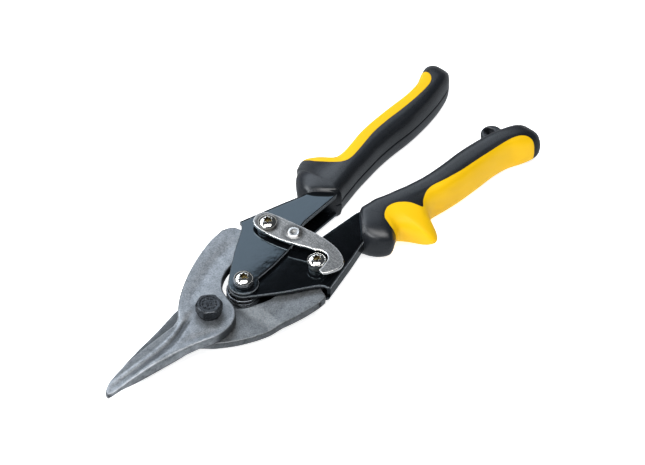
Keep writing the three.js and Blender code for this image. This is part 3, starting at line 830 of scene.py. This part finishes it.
# ---- Grips ----
# Sections from the guard to the end. Each row holds x on the inner and on the outer side; y of the inner
# side, of the core and of the outer side; half the height; how far the outer side is swept to the back at
# mid-height; how square the outer side's corners are; a shift along the grip, to the back on the left one
# and to the front on the right one; how far the outer side's top leans out, and its underside in; and how
# much further out the outer side of the right grip lies.
SECTIONS = np.array([
    [-92, -80.5, 6.6, 13, 19.8, 9, 0, 3, 0, 0, 0],
    [-92.6, -81.5, 6.3, 13, 23.4, 9.6, 0, 3, 0, 0.5, 0],
    [-93.2, -84.2, 6.2, 13.2, 27.8, 9.8, 0, 3, 0, 1, -0.8],
    [-93.8, -88, 6.3, 13.3, 30.4, 9.8, 0, 3, 0.5, 1.5, -0.3],
    [-94.8, -91.6, 6.6, 13.6, 28, 9.8, 0.5, 2.7, 1.5, 1.6, 3.9],
    [-95.8, -93.4, 6.8, 13.8, 27.4, 9.8, 1, 2.3, 2.6, 1.4, 6.1],
    [-97, -95, 7, 14, 30.6, 9.8, 1.5, 2, 3.2, 0.8, 5],
    [-98.8, -97.2, 7.6, 14.4, 36, 9.8, 2, 1.8, 3.3, 0, 1.1],
    [-100.8, -99.6, 8.3, 15, 40.5, 9.8, 1.5, 1.7, 3, -0.6, -2.3],
    [-103.5, -103, 9, 15.8, 41.6, 9.8, 1, 1.65, 2.6, -1.2, -3.3],
    [-107, -106.8, 9.8, 16.9, 38.6, 9.8, 0.5, 1.75, 2.4, -1.6, -3.2],
    [-110.6, -110.6, 10.7, 17.9, 32.6, 9.8, 0, 2, 2.2, -1.6, -4],
    [-114.6, -114.6, 11.6, 19, 28.4, 9.8, 0, 2.4, 1.4, -1, -2],
    [-120, -120, 12.6, 20.1, 27.3, 9.8, 0, 2.7, 0.6, -0.4, -0.5],
    [-128, -128, 13.9, 21.4, 28.4, 9.9, 0, 2.8, 0, 0, 0],
    [-138, -138, 14.6, 22.2, 29.4, 10, 0, 2.8, 0, 0, 0],
    [-150, -150, 14.7, 22.8, 29.7, 10, 0, 2.8, 0, 0, 0],
    [-161, -161, 15.8, 23.8, 29.6, 10, 0, 2.8, 0, 0, 0],
    [-170, -170, 17.4, 25.2, 31, 10, 0, 2.7, -0.3, 0, 0],
    [-177, -177, 19.3, 26.8, 34.6, 9.7, 0, 2.6, -0.6, 0, 0],
    [-182.5, -182.5, 21.2, 28.2, 36.8, 8.8, 0, 2.5, -0.6, 0, 0],
    [-186, -186, 23.4, 29.2, 36, 7, 0, 2.4, -0.6, 0, 0],
    [-188, -188, 25.6, 29.6, 33.4, 4.2, 0, 2.2, -0.6, 0, 0],
])
INNER_SQUARENESS = 4.0
LEFT_INSERT = [
    (-92.7, 50), (-92.7, 25), (-94.2, 20), (-97.8, 17.2), (-101, 16.6), (-105.2, 18), (-109.2, 21.8),
    (-112.4, 26.8), (-115.4, 24.6), (-119.4, 22.8), (-124, 22.4), (-130, 23.7), (-140, 25.3), (-150, 26),
    (-165, 27.2), (-174, 28.8), (-178.8, 31.2), (-180.8, 34.6), (-179.9, 38), (-177.4, 50),
]
RIGHT_INSERT = [
    (-98, 50), (-99.9, 30.4), (-102.9, 23.2), (-106.6, 18.6), (-111.5, 17.4), (-120, 18.9), (-130, 21),
    (-140, 21.8), (-150, 21.9), (-160, 22.3), (-168, 23.1), (-174, 24.5), (-177.4, 27.2), (-178.6, 31),
    (-177.8, 36), (-175.6, 50),
]


def section_at(reach):
    """The section at a share of the grip's length."""
    last = len(SECTIONS) - 1
    i = min(int(reach * last), last - 1)
    return spline(SECTIONS, i, reach * last - i)


def grip_ring(side, reach, depth, angles, seam, ahead):
    """One ring of the grip's skin, a depth inside it, with a parting groove along its inner side."""
    x_in, x_out, y_in, y_core, y_out, half, sweep, square, skew, lean, more = section_at(reach)
    y_out += more if side < 0 else 0
    across, up = np.cos(angles), np.sin(angles)
    squareness = np.where(across < 0, INNER_SQUARENESS, square)
    half_width = np.where(across < 0, y_core - y_in, y_out - y_core) - depth
    out = np.sign(across) * np.abs(across) ** (2 / squareness)
    high = np.sign(up) * np.abs(up) ** (2 / squareness)
    z = (half - depth) * high
    groove = seam * np.exp(-((z / 0.4) ** 2)) * (across < 0)
    y = y_core + (half_width - groove) * out + lean * high * np.clip(out, 0, None)
    slant = (y - y_in) / (y_out - y_in)
    swept = sweep * (1 - high**2) * np.clip(out, 0, None) ** 1.5
    shift = depth * (1 - 2 * reach) + side * skew - ahead
    x = x_in + (x_out - x_in) * slant - swept - shift
    return np.column_stack([x, side * y, z])


def grip_skin(side, depth, rows, around, seam=0.0, cap=0.0):
    """The closed skin of a grip: rings along it, with rounded ends where cap is a radius."""
    outer_half = np.linspace(-np.pi / 2, np.pi / 2, around // 2)
    # The inner side's flat needs its points by height, closer together at the parting groove.
    turn = np.linspace(np.pi / 2, np.radians(150), around // 8)[1:]
    heights = np.array([0.64, 0.55, 0.45, 0.35, 0.26, 0.19, 0.14, 0.1, 0.075, 0.055, 0.04, 0.028, 0.015])
    upper = np.concatenate([turn, np.pi - np.arcsin(heights**2)])
    angles = np.concatenate([outer_half, upper, [np.pi], 2 * np.pi - upper[::-1]])
    turns = np.array((0.1, 0.3, 0.55, 0.8, 1.0) if cap else ()) * math.pi / 2
    # Each ring's reach, its depth, and how far it is moved to round an end.
    places = [(0.0, depth + cap * (1 - math.cos(t)), cap * math.sin(t)) for t in turns[::-1]]
    places += [(reach, depth, 0.0) for reach in np.linspace(0, 1, rows)]
    places += [(1.0, depth + cap * (1 - math.cos(t)), -cap * math.sin(t)) for t in turns]
    rings = []
    for reach, inset, ahead in places:
        ahead += (inset - depth) * (1 - 2 * reach)
        rings.append(grip_ring(side, reach, inset, angles, seam, ahead))
    return stacked(rings, [rings[0].mean(0), rings[-1].mean(0)], flip=side > 0)


def temporary(name, points, faces):
    mesh = bpy.data.meshes.new(name)
    mesh.from_pydata([tuple(p) for p in points], [], faces)
    thing = bpy.data.objects.new(name, mesh)
    bpy.context.scene.collection.objects.link(thing)
    return thing


def combined(base, cutter, operation):
    """The boolean of two meshes, as points and faces."""
    modifier = base.modifiers.new("cut", "BOOLEAN")
    modifier.operation, modifier.object, modifier.solver = operation, cutter, "EXACT"
    shape = base.evaluated_get(bpy.context.evaluated_depsgraph_get()).to_mesh()
    points = np.array([v.co for v in shape.vertices])
    faces = [tuple(p.vertices) for p in shape.polygons]
    base.modifiers.remove(modifier)
    return points, faces


def block(outline, low, high):
    """A prism from a closed outline."""
    return stacked([[(x, y, z) for x, y in turned_loop(outline)] for z in (low, high)])


def moved_out(outline, distance):
    loop = turned_loop(outline)
    along = np.roll(loop, -1, 0) - np.roll(loop, 1, 0)
    along /= np.maximum(np.linalg.norm(along, axis=1), 1e-9)[:, None]
    return loop + np.column_stack([along[:, 1], -along[:, 0]]) * distance


SEAM_GAP = 0.12
INSERT_DEPTH = 2.0


def grip(prefix, side, body, insert_outline, extra=None):
    ends = [insert_outline[0], insert_outline[-1]]
    curve = mirrored([ends[0]] + smooth(insert_outline[1:-1], 6) + [ends[1]], side)
    skin = temporary(prefix + "_skin", *grip_skin(side, 0.0, 230, 130, seam=0.6, cap=0.8))
    core = temporary(prefix + "_core", *grip_skin(side, INSERT_DEPTH, 60, 60))
    shells = []
    for distance in (-SEAM_GAP / 2, SEAM_GAP / 2):
        prism = temporary(prefix + "_prism", *block(moved_out(curve, distance), -14, 14))
        shell = temporary(prefix + "_shell", *combined(prism, core, "DIFFERENCE"))
        shells.append(shell)
        bpy.data.objects.remove(prism)
    insert = combined(skin, shells[0], "INTERSECT")
    main = combined(skin, shells[1], "DIFFERENCE")
    for thing in (skin, core, *shells):
        bpy.data.objects.remove(thing)
    if extra:
        main = joined(main, extra)
    new_piece(prefix + "_body", *main, body, [prefix], "grip_black", RUBBER, sharp=42)
    new_piece(
        prefix + "_inlay", *insert, body, [prefix + "_insert"], "grip_yellow", YELLOW, sharp=42
    )


EYELET_X, EYELET_TOP, EYELET_LOW = -171.2, 6.9, 1.5
eyelet = plate(
    circle(EYELET_X, 17.6, 5.3, 56), EYELET_TOP, EYELET_LOW, [circle(EYELET_X, 15.8, 2.0, 32)],
    edge=1.1, under=1.1, step=0.8, longest=0.6,
)[:2]
grip("right_grip", -1, "right", RIGHT_INSERT)
grip("left_grip", 1, "left", LEFT_INSERT, eyelet)

# ---- Latch ----
LATCH_FRONT = [(-53.6, -23.2), (-50, -21.6), (-48.4, -18), (-48.6, -12), (-49.8, -6), (-52.2, 1), (-55.4, 8)]
LATCH_BACK = [(-53.5, 26.9), (-57, 27.6), (-60.6, 26), (-63.4, 21.4), (-64.7, 15), (-64.6, 7), (-63.3, -1)]
LATCH_HEEL = [(-63.3, -1), (-61.6, -9), (-60, -16), (-58.4, -20.6), (-56, -22.8), (-53.6, -23.2)]
HOOK_TIP = [(-50.6, 21.4), (-49.2, 21.5), (-48.5, 22.8), (-49.3, 24.9), (-53.5, 26.9)]
SCREW_NOTCH = 5.1
BUMP_X, BUMP_Y = -57.5, -2.6
latch_outline = (
    smooth(LATCH_FRONT)
    + arc(TAIL_X, TAIL_Y, SCREW_NOTCH, 232, 117, 20)
    + smooth(HOOK_TIP, 4)[:-1]
    + smooth(LATCH_BACK)[:-1]
    + smooth(LATCH_HEEL)[:-1]
)


def thumb_bump(x, y):
    """A pressed bump with a sharp shoulder and a shallow dent in its crown."""
    r = np.hypot(x - BUMP_X, y - BUMP_Y)
    return 1.0 * (1 - ease(r, 2.5, 4.0)) - 0.5 * (1 - ease(np.hypot(x + 57.0, y + 1.9), 0.3, 2.1))


points, faces, distance = plate(
    latch_outline, lambda x, y: LATCH_TOP + thumb_bump(x, y), LATCH_LOW,
    [circle(TAIL_X, -TAIL_Y, SCREW_BORE)], edge=0.4, under=0.3, step=0.5, longest=0.5,
)
from_bump = np.hypot(points[:, 0] - BUMP_X, points[:, 1] - BUMP_Y)
from_screw = np.hypot(points[:, 0] - TAIL_X, points[:, 1] + TAIL_Y)
# Painted highlight along the latch's edges and in a ring round the bump's crown.
rim = np.maximum(np.exp(-((distance / 0.42) ** 2)), 0.7 * np.exp(-(((from_bump - 2.4) / 0.7) ** 2)))
# Painted shade: a dark ring round the bump and one round the screw, and darker towards the hook.
film = 0.6 * np.exp(-(((from_bump - 4.6) / 1.1) ** 2)) + 0.75 * np.exp(-(((from_screw - 4.9) / 1.2) ** 2))
film = np.clip(film + 0.3 * ease(points[:, 1], 2, 16), 0, 0.85)
new_piece(
    "latch_hook", points, faces, "latch", ["latch_plate"], "plated_steel", PLATED,
    {"rim": rim, "painted_shade": film}, sharp=55,
)


# ---- Screws, nuts, washers ----
def domed_screw(name, node, body, cx, cy, end, base, turn):
    """A domed screw with a six-lobe recess; the recess attribute marks its floor for painted shade."""
    radius, dome, shank, segments = 4.4, 2.5, 2.5, 120
    radii = [*np.linspace(0, 2.5, 34)[1:], *np.linspace(2.5, 4.1, 14)[1:], 4.22, 4.32, 4.38, radius]

    def height(r, a):
        """The head's height, and 1 in its recess or 0 outside it."""
        z = base + dome - dome * 0.74 * (1 - math.sqrt(1 - (0.985 * r / radius) ** 2))
        lobe = 1.72 + 0.42 * math.cos(6 * (a + turn))
        hole = 1 - float(ease(r, lobe - 0.16, lobe + 0.1))
        return z - 1.5 * hole, hole

    rings, recess = [], []
    for r in radii:
        tops = [height(r, 2 * math.pi * k / segments) for k in range(segments)]
        rings.append([(x, y, z) for (x, y), (z, _) in zip(circle(cx, cy, r, segments), tops)])
        recess += [hole for _, hole in tops]
    rim = height(radius, 0)[0]
    below = [(radius, rim - 0.25), (radius, base + 0.15), (radius - 0.15, base), (shank, base), (shank, end)]
    rings += [ring_at(r, z, segments, cx, cy) for r, z in below]
    recess += [0.0] * (len(below) * segments) + [1.0, 0.0]
    shape = stacked(rings, [(cx, cy, height(0, 0)[0]), (cx, cy, end)], flip=True)
    new_piece(name, *shape, body, [node], "nickel", NICKEL, {"recess": recess}, sharp=60)


domed_screw("latch_screw_head", "latch_screw", "right", TAIL_X, -TAIL_Y, -SEAT - NUT_HEIGHT, 10.6, 0.2)
domed_screw("handle_screw_head", "handle_pivot_screw", "right", PIVOT_X, 0, -SEAT - NUT_HEIGHT, 9.0, 0.35)
domed_screw("catch_screw_head", "catch_screw", "left", TAIL_X, TAIL_Y, -LEFT_SEAT - NUT_HEIGHT, 8.1, 0.1)

for name, node, body, x, y, top in (
    ("latch_screw_nut", "latch_nut", "right", TAIL_X, -TAIL_Y, -SEAT),
    ("handle_screw_nut", "handle_pivot_nut", "right", PIVOT_X, 0, -SEAT),
    ("catch_screw_nut", "catch_nut", "left", TAIL_X, TAIL_Y, -LEFT_SEAT),
):
    nut = hexagon_head(8, top - NUT_HEIGHT, top, bore=2.6, chamfer_low=True, cx=x, cy=y)
    new_piece(name, *nut, body, [node], "zinc", ZINC, sharp=28)

for name, node, body, radius, low, high, x, y, slot, material in (
    ("latch_post", "latch_spacer", "right", 5, SEAT, 8.9, TAIL_X, -TAIL_Y, "zinc", WIRE),
    ("handle_screw_washer", "handle_pivot_washer", "right", 4.9, SEAT, 8.9, PIVOT_X, 0, "black_oxide", WIRE),
    ("handle_sleeve", "handle_pivot_sleeve", "right", SLEEVE, -5, 5, PIVOT_X, 0, "zinc", ZINC),
    ("right_tail_collar", "right_tail_spacer", "right", 5, -5, 0.05, TAIL_X, -TAIL_Y, "zinc", ZINC),
    ("left_tail_ring_top", "left_tail_washer_top", "left", 5, 2.3, 3.0, TAIL_X, TAIL_Y, "zinc", ZINC),
    ("left_tail_ring_low", "left_tail_washer_bottom", "left", 5, -3.0, -2.3, TAIL_X, TAIL_Y, "zinc", ZINC),
    ("catch_post", "catch_collar", "left", 3.7, LEFT_SEAT, 8.0, TAIL_X, TAIL_Y, "zinc", ZINC),
):
    ring = washer(radius, SCREW_BORE, low, high, x, y, fillet=0.2)
    new_piece(name, *ring, body, [node], slot, material)


# ---- Opening spring ----
def spring_path(start, turns, height, rise, leg_first):
    """The wire's middle: a coil round the handle pivot with a straight leg at one end."""
    radius, leg = 7.4, 22.0
    coil = turns * 2 * math.pi * radius
    out = []
    for travelled in np.linspace(0, coil + leg, int(turns * 40) + 12):
        on_coil = travelled - leg if leg_first else travelled
        share = min(max(on_coil / coil, 0), 1)
        angle = start + share * turns * 2 * math.pi
        beyond = on_coil - share * coil
        out.append((
            PIVOT_X + radius * math.cos(angle) - beyond * math.sin(angle),
            radius * math.sin(angle) + beyond * math.cos(angle),
            height + share * rise,
        ))
    return out


TURN = 2 * math.pi
coil_path = spring_path(-TURN / 4, 2, -2.2, 2.6, True)
top_path = spring_path(TURN / 4 - 0.9 * TURN, 0.9, 1.8, 0.0, False)
new_piece("spring_lower_coil", *tube(coil_path, 0.6), "right", ["spring_coil"], "black_oxide", WIRE)
new_piece("spring_upper_turn", *tube(top_path, 0.6), "left", ["spring_top_turn"], "black_oxide", WIRE)

# ---- Stage ----
AIM, DISTANCE = Vector((-0.0737, 0.0, 0.010)), 1.5
AZIMUTH, ELEVATION = math.radians(133.765), math.radians(46.989)
BACK = Vector((
    math.sin(AZIMUTH) * math.cos(ELEVATION), -math.cos(AZIMUTH) * math.cos(ELEVATION), math.sin(ELEVATION)
))


def aimed(thing, place):
    thing.location = place
    thing.rotation_euler = (AIM - Vector(place)).to_track_quat("-Z", "Y").to_euler()
    bpy.context.scene.collection.objects.link(thing)
    return thing


lens = bpy.data.cameras.new("camera")
lens.lens, lens.sensor_width, lens.clip_end = 181.1, 36.0, 30.0
camera = bpy.data.objects.new("camera", lens)
bpy.context.scene.camera = aimed(camera, AIM + DISTANCE * BACK)

floor_mesh = bpy.data.meshes.new("floor")
floor_mesh.from_pydata([(-6, -6, 0), (6, -6, 0), (6, 6, 0), (-6, 6, 0)], [], [(0, 1, 2, 3)])
floor = bpy.data.objects.new("floor", floor_mesh)
floor.location.z = -0.0004
bpy.context.scene.collection.objects.link(floor)
paper, _, paper_shader = node_material("paper")
paper_shader.inputs["Base Color"].default_value = (0.9, 0.9, 0.9, 1)
paper_shader.inputs["Roughness"].default_value = 0.9
paper_shader.inputs["Emission Color"].default_value = (1, 1, 1, 1)
paper_shader.inputs["Emission Strength"].default_value = 0.85
floor_mesh.materials.append(paper)
floor.visible_glossy = False  # the steel and the paint reflect a dark room, as in a product shot


def soft_light(name, place, size, power, colour=(1, 1, 1)):
    light = bpy.data.lights.new(name, "AREA")
    light.shape, light.size, light.size_y = "RECTANGLE", *size
    light.energy, light.color = power, colour
    return aimed(bpy.data.objects.new(name, light), place)


soft_light("overhead", (0.12, 0.24, 1.3), (1.0, 0.8), 15)
far_card = soft_light("far_card", (-0.72, -1.07, 1.0), (1.3, 0.86), 11, colour=(0.8, 0.88, 0.98))
far_card.rotation_euler = (0, 0, 0)  # level, so that the flat tops mirror it evenly
soft_light("left_strip", (0.4, -0.85, 1.0), (0.9, 0.4), 9, colour=(0.9, 0.95, 1.0))
soft_light("front_strip", (1.15, -0.05, 0.95), (0.9, 0.4), 12, colour=(0.96, 0.98, 1.0))

# The room is dark above, pale at the horizon and a soft grey below, where the table would be.
world = bpy.data.worlds.new("studio")
world.use_nodes = True
sky_tree = world.node_tree
split = add(sky_tree, "ShaderNodeSeparateXYZ")
sky_tree.links.new(add(sky_tree, "ShaderNodeTexCoord").outputs["Generated"], split.inputs[0])
sky = ramp(
    sky_tree, spread(sky_tree, split.outputs["Z"], 0.0, 1.0, -0.25, 0.25),
    [
        (0.42, (0.42, 0.45, 0.48)), (0.49, (0.95, 0.96, 0.97)), (0.6, (0.95, 0.96, 0.97)),
        (0.72, (0.05, 0.055, 0.06)),
    ],
)
sky_tree.links.new(sky, sky_tree.nodes["Background"].inputs["Color"])
bpy.context.scene.world = world
bpy.context.scene.view_settings.view_transform = "Standard"
